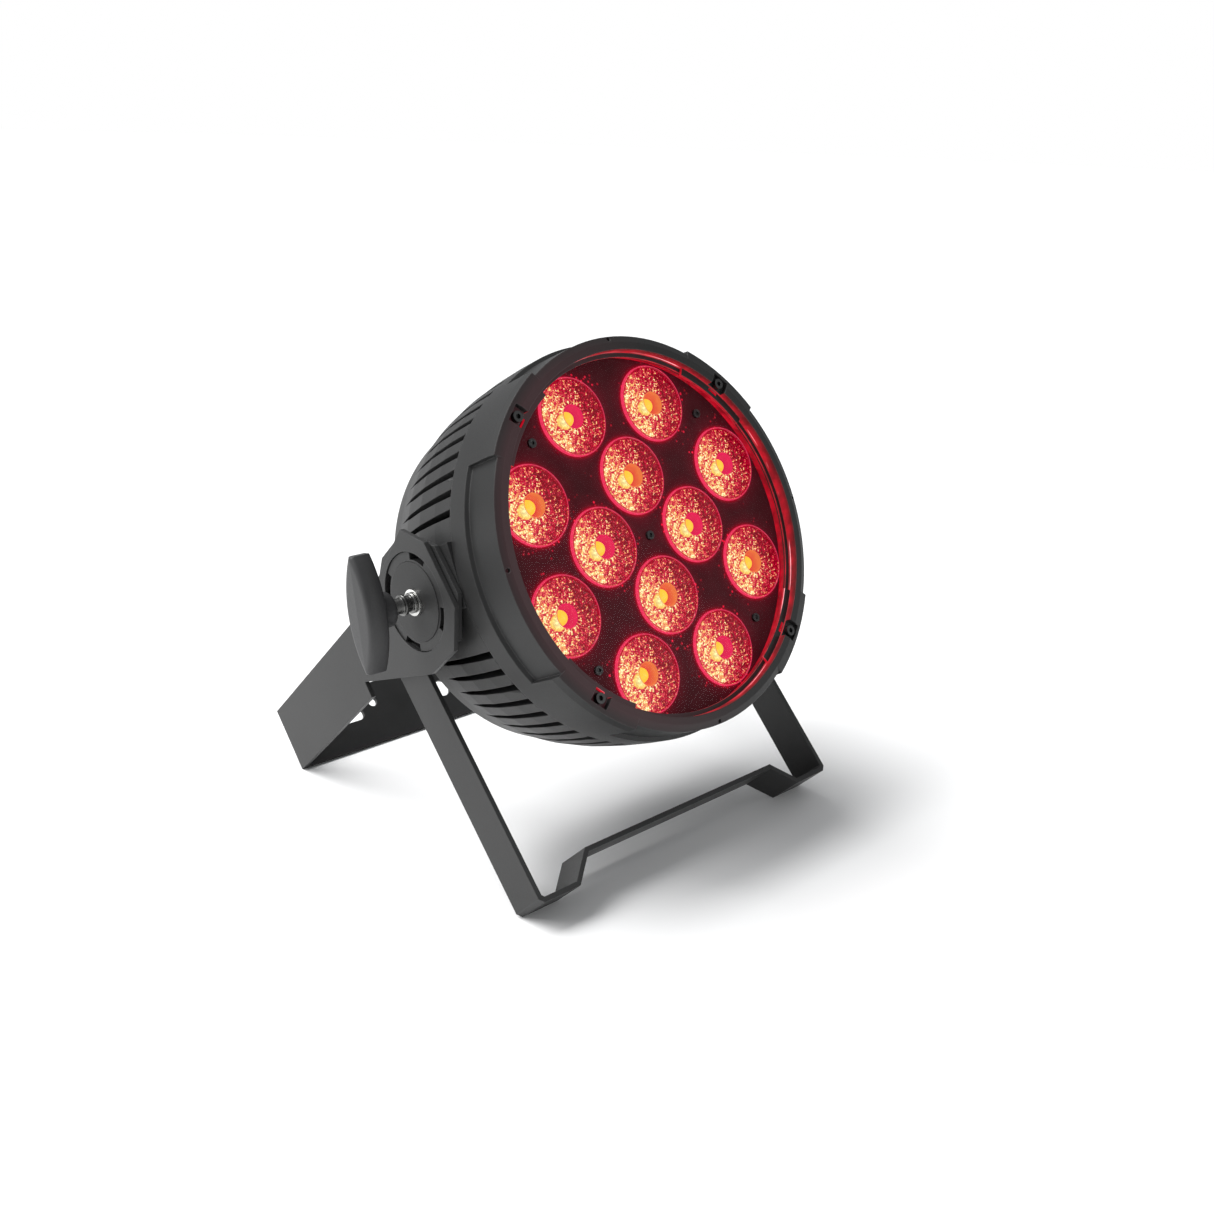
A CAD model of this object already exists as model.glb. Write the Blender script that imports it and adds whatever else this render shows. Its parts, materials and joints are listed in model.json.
"""LED par can with its lenses lit red, standing on its open scissor brackets."""
import json
import math

import bmesh
import bpy
import numpy as np
from mathutils import Matrix, Vector


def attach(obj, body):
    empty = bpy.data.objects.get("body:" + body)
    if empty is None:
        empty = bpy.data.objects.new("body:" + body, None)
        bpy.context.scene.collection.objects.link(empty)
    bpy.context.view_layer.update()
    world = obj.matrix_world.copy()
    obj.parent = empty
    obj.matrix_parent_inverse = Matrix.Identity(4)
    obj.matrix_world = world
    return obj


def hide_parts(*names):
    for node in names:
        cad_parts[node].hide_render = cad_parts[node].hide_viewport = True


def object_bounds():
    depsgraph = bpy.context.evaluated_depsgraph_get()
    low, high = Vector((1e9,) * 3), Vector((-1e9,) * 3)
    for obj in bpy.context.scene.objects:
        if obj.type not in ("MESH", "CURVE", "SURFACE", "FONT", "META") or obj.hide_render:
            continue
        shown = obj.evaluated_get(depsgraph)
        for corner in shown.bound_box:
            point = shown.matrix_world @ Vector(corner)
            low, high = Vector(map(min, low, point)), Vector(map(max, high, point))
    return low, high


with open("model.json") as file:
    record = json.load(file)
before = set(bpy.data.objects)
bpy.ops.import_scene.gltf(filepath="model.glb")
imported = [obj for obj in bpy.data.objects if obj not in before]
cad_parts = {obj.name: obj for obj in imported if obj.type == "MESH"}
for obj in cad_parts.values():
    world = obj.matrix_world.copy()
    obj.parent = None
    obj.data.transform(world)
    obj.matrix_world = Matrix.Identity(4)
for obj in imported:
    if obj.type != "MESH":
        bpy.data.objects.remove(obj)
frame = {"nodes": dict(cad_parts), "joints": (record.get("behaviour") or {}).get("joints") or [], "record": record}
CAD_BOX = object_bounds()
NODES = frame["nodes"]
JOINTS = {j["name"]: j for j in frame["joints"]}
MM = 0.001

# Sizes in mm, as in part.scad. Heights on the lamp's face count from the bezel's front rim.
PIVOT_BACK = 82
OUTER_LENSES_R, INNER_LENSES_R = 85.6, 37.6
LENS_R, LENS_FRONT = 24.2, -13.2
WELL_R = 6.9
BEZEL_WALL_R = 112.2
HUB_START, HUB_END, KNOB_END = 148.6, 156.6, 169.6
KNOB_HALF_LENGTH, KNOB_HALF_WIDTH, KNOB_LEAN = 34.5, 12.0, -12

# Parts of a lens that only this script shapes.
PEBBLE_PITCH, PEBBLE_JITTER, PEBBLE_R, PEBBLE_TALL = 2.05, 0.42, 1.25, 0.34
PEBBLES_END = 22.7
DOME_R, DOME_DEPTH = 4.8, -7.8

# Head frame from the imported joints: X across, Y up the face, Z towards the light,
# with its origin at the middle of the bezel's front rim.
PIVOT = Vector(JOINTS["front_leg_pivot"]["pos_m"])
AIM = Vector(JOINTS["button_1_press"]["axis"]).normalized()
ACROSS = Vector((1, 0, 0))
UPFACE = AIM.cross(ACROSS)
HEAD_ORIGIN = PIVOT + AIM * PIVOT_BACK * MM
HEAD = Matrix.Translation(HEAD_ORIGIN) @ Matrix((ACROSS, UPFACE, AIM)).transposed().to_4x4()

# Lens centres on the face, as radius and angle: eight outside, four inside.
SPOTS = ([(OUTER_LENSES_R, 22.5 + 45 * i) for i in range(8)]
         + [(INNER_LENSES_R, 90 * i) for i in range(4)])


def spot(i):
    """Middle of lens i's front, in the head frame, in metres."""
    r, a = SPOTS[i]
    a = math.radians(a)
    return Vector((r * math.cos(a), r * math.sin(a), LENS_FRONT)) * MM


# ---------- material kit ----------

def linear(r, g, b):
    """A screen colour, 0 to 255, as a linear one."""
    def one(v):
        v = v / 255
        return v / 12.92 if v <= 0.04045 else ((v + 0.055) / 1.055) ** 2.4
    return one(r), one(g), one(b), 1.0


def grey(v):
    return v, v, v, 1.0


def toned(tint, factor=1.0, lift=0.0):
    """A linear colour made lighter or darker, with no channel above 1."""
    return tuple(min(1.0, c * factor + lift) for c in tint) + (1.0,)


class Tree:
    """A short way to write node trees: an input is a value or another node's output."""

    def __init__(self, name):
        self.mat = bpy.data.materials.new(name)
        self.mat.use_nodes = True
        self.nt = self.mat.node_tree
        self.nt.nodes.clear()
        self.coord = self.add("ShaderNodeTexCoord").outputs["Object"]

    def add(self, kind, props=None, **inputs):
        """A node. An input is named as its socket, with _ for a space, or i0, i1 for its place."""
        n = self.nt.nodes.new(kind)
        for k, v in (props or {}).items():
            setattr(n, k, v)
        for k, v in inputs.items():
            key = int(k[1:]) if k[0] == "i" and k[1:].isdigit() else k.replace("_", " ")
            self.put(n.inputs[key], v)
        return n

    def put(self, socket, value):
        if isinstance(value, bpy.types.NodeSocket):
            self.nt.links.new(value, socket)
        else:
            socket.default_value = value

    def math(self, op, a, b=0.0, c=None, clamp=False):
        n = self.add("ShaderNodeMath", {"operation": op, "use_clamp": clamp}, i0=a, i1=b)
        if c is not None:
            self.put(n.inputs[2], c)
        return n.outputs[0]

    def times(self, first, *others):
        for v in others:
            first = self.math("MULTIPLY", first, v)
        return first

    def plus(self, first, *others):
        for v in others:
            first = self.math("ADD", first, v)
        return first

    def vec(self, op, a, b=None):
        """Vector maths: a number for the measuring operations, a vector for the others."""
        n = self.add("ShaderNodeVectorMath", {"operation": op}, i0=a)
        if op == "SCALE":
            self.put(n.inputs[3], b)
        elif b is not None:
            self.put(n.inputs[1], b)
        return n.outputs[1 if op in ("DOT_PRODUCT", "LENGTH", "DISTANCE") else 0]

    def span(self, v, a, b, c=0.0, d=1.0, smooth=False):
        """Takes v from the range a to b to the range c to d, and holds it there."""
        kind = "SMOOTHSTEP" if smooth else "LINEAR"
        return self.add("ShaderNodeMapRange", {"interpolation_type": kind}, i0=v, i1=a, i2=b, i3=c, i4=d).outputs[0]

    def sweep(self, noise, low=0.0, high=1.0):
        """Spreads the range that a noise mostly stays in over low to high."""
        return self.span(noise, 0.3, 0.7, low, high)

    def mix(self, fac, a, b):
        n = self.add("ShaderNodeMix", {"data_type": "RGBA"})
        self.put(n.inputs[0], fac)
        self.put(n.inputs[6], a)
        self.put(n.inputs[7], b)
        return n.outputs[2]

    def noise(self, scale, detail=2.0, rough=0.5, stretch=None, out="Fac"):
        c = self.coord
        if stretch:
            c = self.add("ShaderNodeMapping", Vector=c, Scale=stretch).outputs[0]
        n = self.add("ShaderNodeTexNoise", Vector=c, Scale=scale, Detail=detail, Roughness=rough)
        return n.outputs[out]

    def cells(self, scale, coord=None, feature="F1"):
        props = {"feature": feature}
        return self.add("ShaderNodeTexVoronoi", props, Vector=coord or self.coord, Scale=scale).outputs

    def ramp(self, fac, stops):
        n = self.add("ShaderNodeValToRGB", Fac=fac)
        r = n.color_ramp
        while len(r.elements) < len(stops):
            r.elements.new(0.5)
        for e, (p, c) in zip(r.elements, stops):
            e.position, e.color = p, c
        return n.outputs[0]

    def normal(self):
        return self.add("ShaderNodeNewGeometry").outputs["Normal"]

    def round_normal(self, radius):
        return self.add("ShaderNodeBevel", {"samples": 4}, Radius=radius).outputs[0]

    def edge(self, radius):
        """1 on the shape's outer and inner corners, 0 on its flats."""
        return self.span(self.vec("DOT_PRODUCT", self.round_normal(radius), self.normal()), 0.998, 0.94)

    def worn_edge(self, radius, least):
        """The edges, rubbed unevenly: from least to 1 along them."""
        return self.times(self.edge(radius), self.span(self.noise(120.0, 3.0), 0.35, 0.7, least, 1.0))

    def bump(self, height, strength, distance, radius=None):
        n = self.add("ShaderNodeBump", Height=height, Strength=strength, Distance=distance)
        if radius:
            self.put(n.inputs["Normal"], self.round_normal(radius))
        return n.outputs[0]

    def finish(self, **inputs):
        bsdf = self.add("ShaderNodeBsdfPrincipled", **inputs)
        out = self.add("ShaderNodeOutputMaterial")
        self.nt.links.new(bsdf.outputs[0], out.inputs[0])
        return self.mat

    def head_point(self):
        """(distance from the lamp's axis, height towards the light), both in mm."""
        v = self.vec("SUBTRACT", self.coord, tuple(HEAD_ORIGIN))
        z = self.vec("DOT_PRODUCT", v, tuple(AIM))
        r = self.vec("LENGTH", self.vec("SUBTRACT", v, self.vec("SCALE", tuple(AIM), z)))
        return self.times(r, 1 / MM), self.times(z, 1 / MM)


def powder(name, base, rough, strength, radius, grain=1500.0, edge_gain=1.9):
    """Powder coat: fine orange peel, soft patches, thinner and shinier on the edges."""
    t = Tree(name)
    patch = t.noise(14.0, 4.0, 0.6)
    fine = t.noise(grain, 2.0, 0.6)
    body = t.mix(t.sweep(patch), grey(base * 0.82), grey(base * 1.2))
    body = t.mix(t.span(fine, 0.62, 0.75, 0.0, 0.5), body, grey(base * 2.0))
    height = t.math("MULTIPLY_ADD", t.noise(420.0), 0.6, fine)
    return t.finish(Base_Color=t.mix(t.worn_edge(radius, 0.35), body, grey(base * edge_gain)),
                    Roughness=t.plus(t.sweep(patch, rough - 0.05, rough + 0.05), t.sweep(fine, -0.04, 0.04)),
                    Specular_IOR_Level=0.3, Normal=t.bump(height, strength, 0.00012, radius))


def metal(name, tint, rough, scale=600.0):
    """Machined or plated metal with fine grain and duller patches."""
    t = Tree(name)
    fine = t.noise(scale, 3.0, 0.6)
    patch = t.noise(60.0, 3.0)
    return t.finish(Base_Color=t.mix(t.span(patch, 0.35, 0.7), toned(tint), toned(tint, 0.72)), Metallic=1.0,
                    Roughness=t.plus(t.sweep(fine, rough - 0.07, rough + 0.09), t.sweep(patch, -0.03, 0.05)),
                    Normal=t.bump(fine, 0.15, 0.00005, 0.0003))


def plastic(name, tint, rough, grain=900.0, strength=0.2, radius=0.0005):
    """Moulded plastic with a fine grain, uneven in tone and paler on its edges."""
    t = Tree(name)
    fine = t.noise(grain, 2.0, 0.6)
    patch = t.noise(30.0, 3.0)
    body = t.mix(t.sweep(patch), toned(tint, 0.8), toned(tint, 1.2))
    return t.finish(Base_Color=t.mix(t.times(t.edge(radius), 0.5), body, toned(tint, 1.6, 0.01)),
                    Roughness=t.plus(t.sweep(patch, rough - 0.04, rough + 0.04), t.sweep(fine, -0.04, 0.04)),
                    Normal=t.bump(fine, strength, 0.0001, radius))


def bezel_material():
    """Powder coat whose inner walls carry the red spill of the lit lenses."""
    t = Tree("bezel_coat")
    edge_radius = 0.0009
    patch = t.noise(14.0, 4.0, 0.6)
    fine = t.noise(1500.0, 2.0, 0.6)
    r, z = t.head_point()
    facing = t.vec("DOT_PRODUCT", t.normal(), tuple(AIM))
    front = t.span(facing, 0.75, 0.95)
    side_coat = t.mix(t.sweep(patch), grey(0.014), grey(0.02))
    front_coat = t.mix(t.sweep(patch), grey(0.013), grey(0.019))
    edge = t.times(t.worn_edge(edge_radius, 0.5), t.span(front, 0.0, 1.0, 1.0, 0.4))
    colour = t.mix(edge, t.mix(front, side_coat, front_coat), grey(0.07))

    # Red on the inner wall, deeper down it, with a bright line where it catches most light.
    wall = t.times(t.span(r, BEZEL_WALL_R + 0.7, BEZEL_WALL_R + 0.3), t.span(facing, 0.6, 0.3))
    streaks = t.span(t.noise(90.0, 3.0, 0.6), 0.35, 0.65, 0.4, 1.05)
    glow = t.times(wall, streaks, t.span(z, -0.6, -5.0, 0.3, 1.0))
    from_line = t.math("ABSOLUTE", t.plus(z, 5.4))
    line = t.times(t.span(from_line, 0.5, 0.2), wall, t.span(t.noise(26.0), 0.5, 0.58))
    red = t.mix(line, linear(206, 8, 36), linear(255, 168, 176))

    # A maroon haze over the front faces on the side of the knob in the photograph.
    x = t.add("ShaderNodeSeparateXYZ", Vector=t.coord).outputs[0]
    haze = t.times(front, t.span(x, 0.03, -0.06), t.span(z, -9.0, -8.0), t.span(r, 122.0, 117.0, 0.3, 1.0))
    return t.finish(Base_Color=colour, Specular_IOR_Level=0.3,
                    Roughness=t.plus(t.sweep(patch, 0.38, 0.48), t.sweep(fine, -0.04, 0.04)),
                    Normal=t.bump(fine, 0.22, 0.00012, edge_radius),
                    Emission_Color=t.mix(wall, linear(44, 14, 19), red),
                    Emission_Strength=t.plus(glow, haze, t.times(line, 0.6)))


def plate_material():
    """Black lens plate soaked in red light, brightest in a thin halo round each lens."""
    t = Tree("lens_plate_lit")
    near = None
    for i in range(len(SPOTS)):
        d = t.vec("DISTANCE", t.coord, tuple(HEAD @ spot(i)))
        near = d if near is None else t.math("MINIMUM", near, d)
    gap = t.math("MULTIPLY_ADD", near, 1 / MM, -LENS_R)
    halo = t.math("POWER", t.span(gap, 0.0, 3.2, 1.0, 0.0), 2.6)
    wide = t.math("POWER", t.span(gap, 0.0, 13.0, 1.0, 0.0), 2.0)
    cloud = t.sweep(t.noise(55.0, 4.0, 0.6), 0.8, 1.15)
    spark = t.times(t.span(t.cells(300.0)["Distance"], 0.3, 0.16), t.span(t.noise(60.0), 0.54, 0.6),
                    t.span(gap, 11.0, 3.0))
    outer_fade = t.span(t.head_point()[0], 112.0, 92.0, 0.75, 1.0)
    glow = t.mix(wide, linear(66, 17, 24), linear(96, 12, 28))
    glow = t.mix(halo, glow, linear(176, 2, 34))
    glow = t.mix(spark, glow, linear(240, 24, 56))
    fine = t.noise(1100.0)
    return t.finish(Base_Color=t.mix(cloud, grey(0.003), grey(0.006)), Roughness=t.sweep(fine, 0.5, 0.6),
                    Specular_IOR_Level=0.04, Normal=t.bump(fine, 0.05, 0.00005), Emission_Color=glow,
                    Emission_Strength=t.plus(t.times(cloud, outer_fade), t.times(spark, 0.3)))


def optic_material():
    """Pebbled lens face lit from behind: crimson cells with cream sparks, warmer to one side."""
    t = Tree("lens_pebbles")
    xyz = t.add("ShaderNodeSeparateXYZ", Vector=t.coord).outputs
    x, y = t.times(xyz[0], 1 / MM), t.times(xyz[1], 1 / MM)
    flat = t.add("ShaderNodeCombineXYZ", X=x, Y=y).outputs[0]
    r = t.vec("LENGTH", flat)

    # v is how bright the pebbles' pattern is: cells, their dark joints, specks and short rays.
    bent = t.vec("ADD", t.coord, t.vec("SCALE", t.noise(300.0, out="Color"), 0.0012))
    shade = t.add("ShaderNodeSeparateColor", Color=t.cells(600.0, bent)["Color"]).outputs
    joints = t.span(t.cells(600.0, bent, "DISTANCE_TO_EDGE")["Distance"], 0.0, 0.14, -0.3, 0.0)
    specks = t.span(t.cells(820.0, bent)["Distance"], 0.46, 0.26)
    side = t.plus(t.math("MULTIPLY_ADD", x, -0.019, t.times(y, -0.005)), t.sweep(t.noise(70.0), -0.12, 0.12))
    turn = t.math("ARCTAN2", y, x)
    rays = t.math("SINE", t.math("MULTIPLY_ADD", turn, 23.0, t.sweep(t.noise(200.0, 1.0), -1.5, 1.5)))
    rays = t.times(t.span(rays, 0.35, 0.8), t.times(t.span(r, 7.2, 8.0), t.span(r, 11.0, 9.0)))
    v = t.plus(t.math("MULTIPLY_ADD", shade[0], 0.5, 0.12), side, joints,
               t.times(specks, t.times(shade[1], 0.8)), t.sweep(t.noise(1100.0), -0.14, 0.14),
               t.times(rays, 0.5))
    colour = t.ramp(v, [
        (0.0, linear(132, 0, 22)), (0.18, linear(184, 0, 38)), (0.36, linear(220, 14, 62)),
        (0.5, linear(228, 72, 88)), (0.64, linear(238, 146, 88)), (0.8, linear(246, 208, 116)),
        (1.0, linear(255, 248, 196)),
    ])

    # The emitter's picture beside the well, where the lens bends it to, and the lens's rim.
    seen = t.vec("LENGTH", t.vec("MULTIPLY", t.vec("SUBTRACT", flat, (-7.4, -2.2, 0.0)), (0.8, 1.0, 0.0)))
    picture = t.mix(t.span(seen, 4.6, 1.0), linear(250, 206, 84), linear(255, 249, 176))
    colour = t.mix(t.times(t.span(seen, 5.2, 4.4, smooth=True), 0.85), colour, picture)
    groove = t.times(t.span(r, 22.2, 22.5), t.span(r, 23.2, 22.9))
    rim = t.span(r, 23.2, 23.5)
    colour = t.mix(rim, t.mix(groove, colour, linear(176, 0, 36)), linear(226, 52, 88))
    return t.finish(Base_Color=t.mix(rim, linear(60, 2, 10), linear(90, 10, 24)),
                    Roughness=t.sweep(t.noise(500.0), 0.12, 0.26), Specular_IOR_Level=0.25,
                    Emission_Color=colour, Emission_Strength=t.span(v, 0.0, 1.0, 0.9, 1.3))


def well_material(name, low, high):
    """The well in the middle of a lens: smooth, lit from below."""
    t = Tree(name)
    z = t.add("ShaderNodeSeparateXYZ", Vector=t.coord).outputs[2]
    depth = t.span(z, -0.0095, 0.0)
    colour = t.mix(t.span(t.plus(depth, t.noise(160.0)), 0.5, 1.4), low, high)
    return t.finish(Base_Color=linear(70, 3, 12), Roughness=t.sweep(t.noise(300.0), 0.2, 0.3),
                    Specular_IOR_Level=0.2, Emission_Color=colour,
                    Emission_Strength=t.span(depth, 0.0, 1.0, 1.0, 0.95))


def dome_material():
    """The lit emitter seen at the bottom of a well: white-hot core, yellow flank."""
    t = Tree("led_dome")
    from_core = t.vec("DISTANCE", t.coord, (-0.0006, -0.0006, -0.0008))
    core = t.span(from_core, 0.0006, 0.0042, 1.0, 0.0, smooth=True)
    colour = t.mix(t.math("ADD", core, t.sweep(t.noise(700.0), -0.08, 0.08), clamp=True),
                   linear(250, 208, 64), linear(255, 250, 180))
    return t.finish(Base_Color=linear(160, 90, 10), Roughness=t.sweep(t.noise(500.0), 0.1, 0.2),
                    Emission_Color=colour, Emission_Strength=t.span(core, 0.0, 1.0, 1.0, 1.1))


def glow_board_material():
    """White board flooded with red, seen only through the clip slots."""
    t = Tree("board_lit")
    n = t.noise(120.0, 3.0)
    return t.finish(Base_Color=t.mix(n, grey(0.7), grey(0.82)), Roughness=t.sweep(n, 0.4, 0.5),
                    Emission_Color=linear(236, 26, 52), Emission_Strength=t.sweep(n, 0.7, 1.1))


def glass_material():
    """Clear toughened sheet, faintly wiped."""
    t = Tree("front_glass_clear")
    smear = t.noise(35.0, 3.0, 0.6, stretch=(1.0, 3.0, 1.0))
    return t.finish(Base_Color=t.mix(smear, grey(0.0), grey(0.004)), Roughness=t.sweep(smear, 0.02, 0.07),
                    Specular_IOR_Level=0.3, Alpha=0.05)


def display_material():
    """Smoked window over the display, under a clear coat."""
    t = Tree("display_smoked")
    n = t.noise(220.0)
    return t.finish(Base_Color=t.mix(n, linear(12, 18, 26), linear(18, 26, 38)),
                    Roughness=t.sweep(n, 0.06, 0.12), Coat_Weight=0.6)


def board_material(name, tint):
    """Circuit board: solder mask over faint copper runs."""
    t = Tree(name)
    runs = t.span(t.add("ShaderNodeTexBrick", Vector=t.coord, Scale=260.0).outputs["Fac"], 0.2, 0.8)
    return t.finish(Base_Color=t.mix(runs, toned(tint, 0.7), toned(tint, 1.7)),
                    Roughness=t.sweep(t.noise(300.0), 0.3, 0.42))


MATERIALS = {
    "casting": powder("casting_coat", 0.02, 0.46, 0.4, 0.0008),
    "bezel": bezel_material(),
    "steel_black": powder("bracket_coat", 0.026, 0.42, 0.3, 0.0006, grain=1300.0, edge_gain=2.4),
    "black_screw": metal("black_screw", (0.07, 0.07, 0.07), 0.4),
    "zinc": metal("zinc_plate", (0.6, 0.6, 0.57), 0.34),
    "stainless": metal("bright_steel", (0.72, 0.72, 0.7), 0.24, scale=900.0),
    "brass": metal("turned_brass", (0.74, 0.56, 0.28), 0.3),
    "rubber": plastic("seal_rubber", (0.016, 0.016, 0.016), 0.7),
    "clear_glass": glass_material(),
    "lens_acrylic": optic_material(),
    "lens_black": plate_material(),
    "board_white": glow_board_material(),
    "led": dome_material(),
    "board_green": board_material("board_green", (0.02, 0.13, 0.06)),
    "board_blue": board_material("board_blue", (0.02, 0.08, 0.15)),
    "component": plastic("component_black", (0.03, 0.03, 0.034), 0.5),
    "knob_black": plastic("knob_nylon", (0.03, 0.03, 0.031), 0.46, grain=1100.0, strength=0.35, radius=0.0012),
    "nylon": plastic("pivot_nylon", (0.014, 0.014, 0.014), 0.5),
    "button_grey": plastic("button_cap", (0.12, 0.12, 0.13), 0.4),
    "display": display_material(),
    "power_blue": plastic("socket_blue", (0.02, 0.1, 0.42), 0.32),
    "power_grey": plastic("socket_grey", (0.42, 0.42, 0.44), 0.34),
    "data_black": plastic("socket_black", (0.022, 0.022, 0.022), 0.3),
}
for part in frame["record"]["subparts"]:
    data = NODES[part["node"]].data
    data.materials.clear()
    data.materials.append(MATERIALS[part["material_slot"]])


# ---------- mesh kit: all sizes in mm ----------

def show(name, data):
    obj = bpy.data.objects.new(name, data)
    bpy.context.scene.collection.objects.link(obj)
    return obj


def piece(name, bm, matrix, mats, body, replaces, smooth):
    """A finished piece that rides on a body. Edges sharper than smooth, in degrees, stay sharp."""
    bmesh.ops.recalc_face_normals(bm, faces=bm.faces)
    data = bpy.data.meshes.new(name)
    bm.to_mesh(data)
    bm.free()
    for m in mats:
        data.materials.append(m)
    obj = show(name, data)
    obj.matrix_world = matrix
    data.shade_smooth()
    if smooth:
        data.set_sharp_from_angle(angle=math.radians(smooth))
    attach(obj, body)
    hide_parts(replaces)


def ring(bm, r, z, steps):
    """A circle of vertices about Z. A radius of 0 gives a pole."""
    if not r:
        return [bm.verts.new((0, 0, z * MM))]
    turns = [2 * math.pi * k / steps for k in range(steps)]
    return [bm.verts.new((r * MM * math.cos(q), r * MM * math.sin(q), z * MM)) for q in turns]


def skin(bm, a, b, mat=0, inward=False):
    """Faces between two rings of vertices, either of which may be a pole."""
    steps = max(len(a), len(b))
    for k in range(steps):
        n = (k + 1) % steps
        if inward:
            corners = [a[k], b[k % len(b)], b[n % len(b)], a[n]]
        else:
            corners = [a[k % len(a)], a[n % len(a)], b[n % len(b)], b[k % len(b)]]
        corners = list(dict.fromkeys(corners))
        if len(corners) > 2:
            bm.faces.new(corners).material_index = mat


def lathe(bm, profile, steps, close=False):
    """Turns (radius, height) points about Z."""
    rings = [ring(bm, r, z, steps) for r, z in profile]
    for a, b in list(zip(rings, rings[1:])) + ([(rings[-1], rings[0])] if close else []):
        skin(bm, a, b)


def pebble_centres():
    """A jittered triangular grid over the pebbled part of a lens, the same for every lens."""
    rng = np.random.default_rng(7)
    centres = []
    for j in range(-14, 15):
        for i in range(-14, 15):
            p = np.array([(i + 0.5 * (j % 2)) * PEBBLE_PITCH, j * PEBBLE_PITCH * 0.866])
            p = p + rng.uniform(-PEBBLE_JITTER, PEBBLE_JITTER, 2)
            if 6 < np.hypot(*p) < 25:
                centres.append(p)
    return np.array(centres)


def pebble_height(x, y, centres):
    """Height of the field of small domes at (x, y)."""
    d = np.hypot(x[:, None] - centres[None, :, 0], y[:, None] - centres[None, :, 1]).min(1)
    return PEBBLE_TALL * np.clip(1 - (d / PEBBLE_R) ** 2, -0.4, 1)


def optic_mesh():
    """One lens: pebbled face, seating ring outside it, smooth well inside it."""
    steps = 132
    face_r = 23.0
    centres = pebble_centres()
    ang = np.linspace(0, 2 * math.pi, steps, endpoint=False)
    bm = bmesh.new()
    rings = []
    for r in [*np.linspace(WELL_R + 0.5, PEBBLES_END, 36), face_r]:
        x, y = r * np.cos(ang), r * np.sin(ang)
        fade = np.clip((22.9 - r) / 0.6, 0, 1) * np.clip((r - WELL_R - 0.3) / 0.8, 0, 1)
        crown = 0.5 * (1 - (r / face_r) ** 2)
        z = crown + pebble_height(x, y, centres) * fade - 0.5
        rings.append([bm.verts.new((a * MM, b * MM, c * MM)) for a, b, c in zip(x, y, z)])
    for a, b in zip(rings, rings[1:]):
        skin(bm, a, b)
    last = rings[-1]
    for r, z in [(23.3, 0.0), (23.6, 0.25), (24.0, 0.15), (LENS_R, -0.3), (LENS_R, -1.8)]:
        new = ring(bm, r, z, steps)
        skin(bm, last, new)
        last = new
    last = rings[0]
    for r, z in [(WELL_R + 0.2, 0.1), (WELL_R, -0.15), (WELL_R - 0.2, -6.0), (WELL_R - 0.7, -9.0),
                 (5.0, -9.8), (0, -10.0)]:
        new = ring(bm, r, z, steps)
        skin(bm, last, new, mat=1, inward=True)
        last = new
    return bm


def dome_mesh():
    bm = bmesh.new()
    profile = [(DOME_R * math.cos(q), DOME_R * math.sin(q)) for q in np.linspace(-0.5, math.pi / 2, 14)]
    profile[-1] = (0, profile[-1][1])
    lathe(bm, profile, 48)
    return bm


WELLS = [well_material("well_magenta", linear(214, 16, 84), linear(240, 40, 92)),
         well_material("well_orange", linear(226, 60, 62), linear(246, 128, 70))]
for i in range(len(SPOTS)):
    place = HEAD @ Matrix.Translation(spot(i))
    sunk = place @ Matrix.Translation(Vector((0, 0, DOME_DEPTH * MM)))
    node = f"lens_{i + 1:02d}"
    piece(f"optic_{i + 1:02d}", optic_mesh(), place, [MATERIALS["lens_acrylic"], WELLS[i % 2]],
          "head", node, smooth=50.0)
    piece(f"led_dome_{i + 1:02d}", dome_mesh(), sunk, [MATERIALS["led"]], "head", node, smooth=None)


# ---------- knobs: heights are distances out from the lamp's middle ----------

def knob_grip():
    """Two-wing knob, a lens shape from the side with softened rims, and its turned hub."""
    bm = bmesh.new()
    flank_r = (KNOB_HALF_LENGTH ** 2 * 1.2 + KNOB_HALF_WIDTH ** 2) / (2 * KNOB_HALF_WIDTH)
    outline = []
    for k in range(25):
        y = KNOB_HALF_LENGTH * (1 - 2 * k / 24)
        outline.append((math.sqrt(flank_r ** 2 - y ** 2) - flank_r + KNOB_HALF_WIDTH, y))
    outline += [(-x, -y) for x, y in outline]
    inset, tip_shrink = 34, 0.55
    rings = []
    for z, size in [(HUB_END, 0.965), (157.2, 0.99), (158.2, 1.0), (167.2, 1.0), (168.6, 0.985),
                    (169.4, 0.95), (KNOB_END, 0.9)]:
        less = 1 - size
        rings.append([bm.verts.new(((x - math.copysign(min(abs(x), inset * less), x)) * MM,
                                    y * (1 - less * tip_shrink) * MM, z * MM)) for x, y in outline])
    for a, b in zip(rings, rings[1:]):
        skin(bm, a, b)
    bm.faces.new(rings[0][::-1])
    bm.faces.new(rings[-1])
    bm.normal_update()
    lathe(bm, [(0, HUB_START), (8.6, HUB_START), (9.8, 149.0), (10.4, 149.8), (10.5, 151.0), (10.5, 155.6),
               (10.9, 156.8), (0, 157.0)], 64)
    return bm


def knob_collar():
    """Turned sleeve round the stud, with a flange at the bracket and another near the hub."""
    bm = bmesh.new()
    bore = 4.05
    lathe(bm, [(bore, 132.8), (5.9, 132.8), (6.2, 133.1), (6.2, 134.1), (5.9, 134.5), (4.9, 134.7),
               (4.9, 138.2), (6.0, 138.4), (6.4, 138.8), (6.4, 140.2), (6.0, 140.6), (5.0, 140.7),
               (4.7, 141.6), (4.7, 148.8), (bore, 148.8)], 48, close=True)
    return bm


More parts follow.
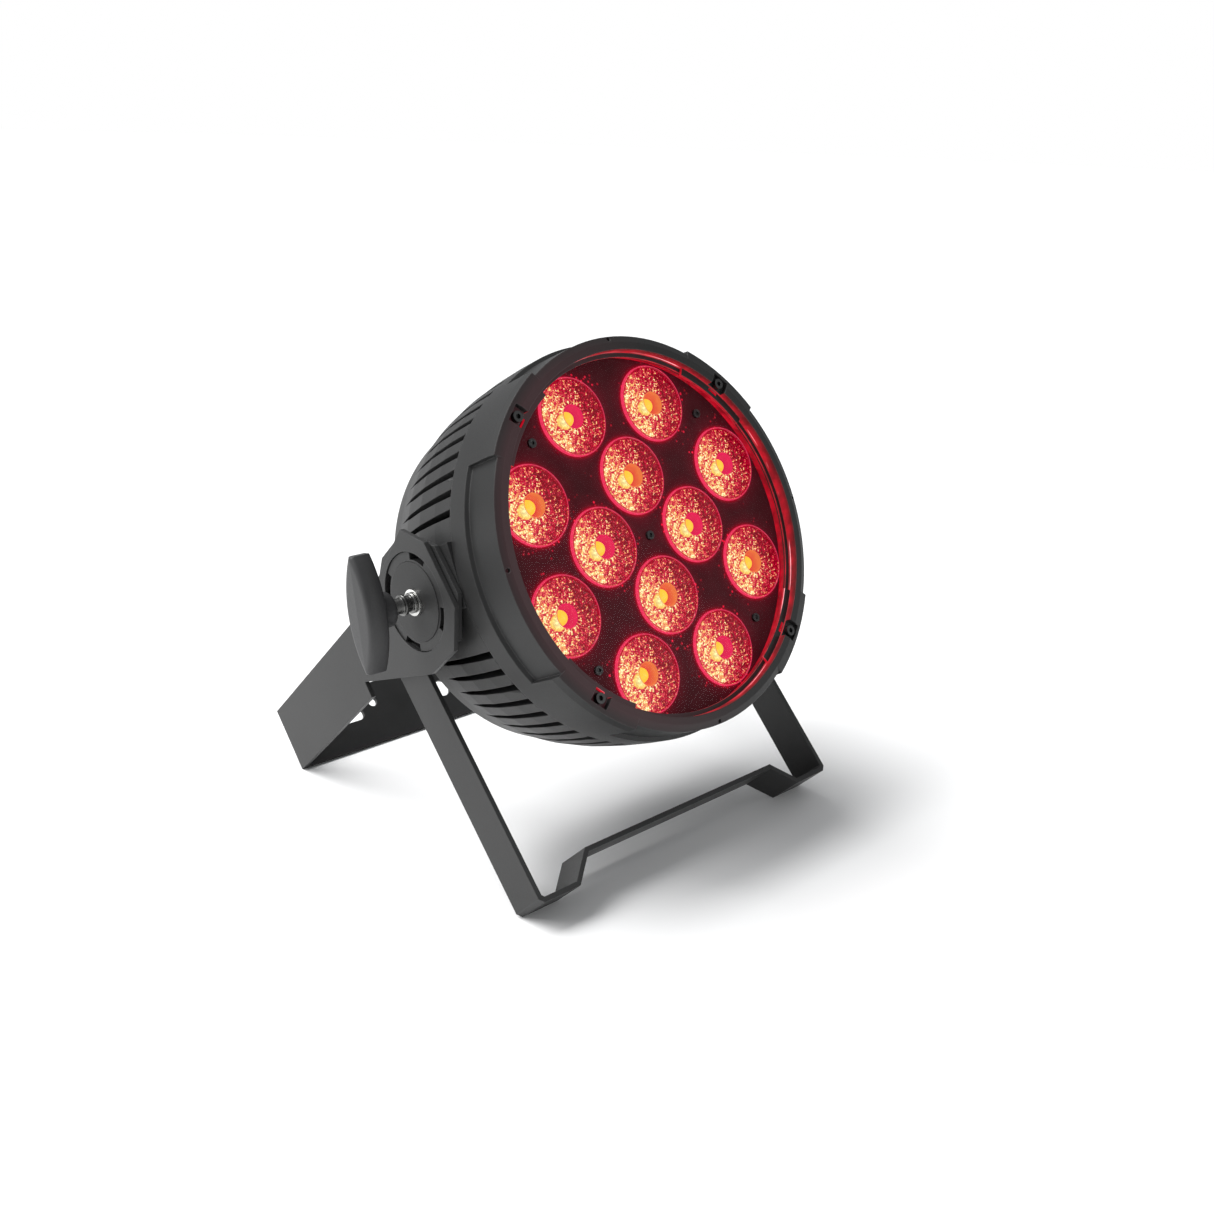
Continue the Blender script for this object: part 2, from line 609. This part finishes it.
DARK_STEEL = metal("collar_steel", (0.2, 0.2, 0.195), 0.26, scale=900.0)
for side, name in ((-1, "left"), (1, "right")):
    outward = Matrix(((0, 0, side), (side, 0, 0), (0, 1, 0))).to_4x4()
    lean = Matrix.Rotation(math.radians(KNOB_LEAN), 4, "X")
    place = Matrix.Translation(PIVOT) @ lean @ outward
    node = f"knob_{name}"
    piece(f"knob_{name}_grip", knob_grip(), place, [MATERIALS["knob_black"]], node, node,
          smooth=40.0)
    piece(f"knob_{name}_collar", knob_collar(), place, [DARK_STEEL], node, node, smooth=30.0)


# ---------- stage, light and camera ----------

def floor_material():
    t = Tree("floor_pale")
    n = t.noise(3.0, 3.0)
    return t.finish(Base_Color=t.mix(n, grey(0.9), grey(0.93)), Roughness=t.sweep(n, 0.55, 0.65))


def aimed(obj, direction, roll=0.0):
    """Points a light or the camera along a direction."""
    turn = Matrix.Rotation(roll, 3, "Z").to_quaternion()
    obj.rotation_mode = "QUATERNION"
    obj.rotation_quaternion = Vector(direction).to_track_quat("-Z", "Y") @ turn


def area(name, place, aim, size, power):
    lamp = bpy.data.lights.new(name, "AREA")
    lamp.shape = "DISK"
    lamp.size, lamp.energy = size, power
    obj = show(name, lamp)
    obj.location = place
    aimed(obj, Vector(aim) - Vector(place))


bm = bmesh.new()
bmesh.ops.create_circle(bm, cap_ends=True, segments=64, radius=14.0)
data = bpy.data.meshes.new("floor")
bm.to_mesh(data)
bm.free()
data.materials.append(floor_material())
show("floor", data)

# The backdrop is white to the camera and a dimmer, cooler light to the object.
world = bpy.data.worlds.new("studio")
bpy.context.scene.world = world
world.use_nodes = True
sky = world.node_tree
sky.nodes.clear()
pick = sky.nodes.new("ShaderNodeMixShader")
sky.links.new(sky.nodes.new("ShaderNodeLightPath").outputs["Is Camera Ray"], pick.inputs[0])
for slot, colour, power in ((1, (0.97, 0.985, 1.0, 1.0), 0.4), (2, (1.0, 1.0, 1.0, 1.0), 1.0)):
    light = sky.nodes.new("ShaderNodeBackground")
    light.inputs[0].default_value = colour
    light.inputs[1].default_value = power
    sky.links.new(light.outputs[0], pick.inputs[slot])
sky.links.new(pick.outputs[0], sky.nodes.new("ShaderNodeOutputWorld").inputs[0])

middle = (CAD_BOX[0] + CAD_BOX[1]) / 2
area("key", (-1.3, 0.5, 1.3), middle, size=0.9, power=14.0)
area("fill", (0.9, -1.7, 0.7), middle, size=1.2, power=4.0)
sun = bpy.data.lights.new("sun", "SUN")
sun.energy, sun.angle = 3.4, math.radians(40)
aimed(show("sun", sun), (0.3, -0.55, -0.95))

# The camera stands where the photograph was taken from.
lens = bpy.data.cameras.new("camera")
lens.sensor_width = 36.0
lens.lens = 38.687
lens.shift_x, lens.shift_y = 0.0039, 0.0032
camera = show("camera", lens)
camera.location = (-0.5349, -0.6162, 0.4438)
azimuth, elevation, roll = math.radians(-43.06), math.radians(21.27), math.radians(2.045)
aimed(camera, (-math.sin(azimuth) * math.cos(elevation), math.cos(azimuth) * math.cos(elevation),
               -math.sin(elevation)), roll)
bpy.context.scene.camera = camera
bpy.context.scene.view_settings.view_transform = "Standard"
